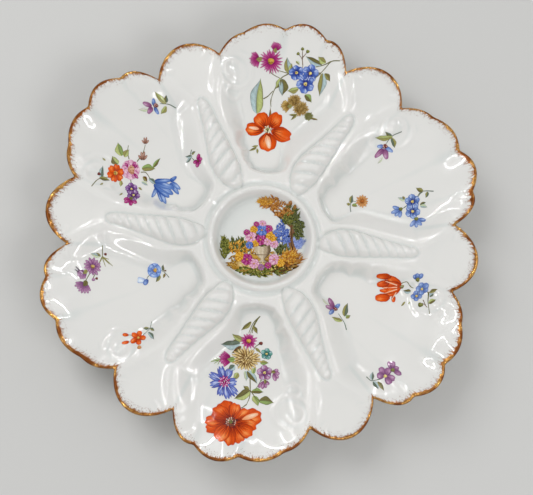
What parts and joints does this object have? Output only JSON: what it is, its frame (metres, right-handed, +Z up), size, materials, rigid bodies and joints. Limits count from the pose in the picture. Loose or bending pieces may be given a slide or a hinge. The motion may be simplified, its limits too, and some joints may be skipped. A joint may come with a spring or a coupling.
{
  "type": "oyster plate",
  "caption": "Moulded porcelain oyster plate: wells round a sauce well, spiral shells on the dividers, a lobed gilt edge, scattered enamel flowers and a small garden picture.",
  "frame": {"origin": "centre of the foot ring's flat face, on the table, which is also the bottom centre of the plate's box", "axes": "+Z up out of the wells, +X to the right and +Y away from the diner as the picture in the middle is seen upright"},
  "size_m": [0.225, 0.2314, 0.0278],
  "materials": {
    "porcelain": "glossy clear glaze over cool white porcelain",
    "gilding": "burnished gold, brushed on and worn",
    "picture_enamel": "glossy fired enamel",
    "flower_enamel": "glossy fired enamel, slightly raised"
  },
  "bodies": {
    "root": {"porcelain_body": "porcelain", "gilt_edge": "gilding", "centre_medallion": "picture_enamel", "top_bouquet": "flower_enamel", "upper_left_bouquet": "flower_enamel", "upper_left_sprig": "flower_enamel", "upper_left_bud": "flower_enamel", "lower_left_asters": "flower_enamel", "lower_left_bells": "flower_enamel", "lower_left_berries": "flower_enamel", "bottom_bouquet": "flower_enamel", "lower_right_sprig": "flower_enamel", "lower_right_tulip": "flower_enamel", "lower_right_pinks": "flower_enamel", "upper_right_sprig": "flower_enamel", "upper_right_daisy": "flower_enamel", "upper_right_forget_me_nots": "flower_enamel"}
  },
  "joints": []
}
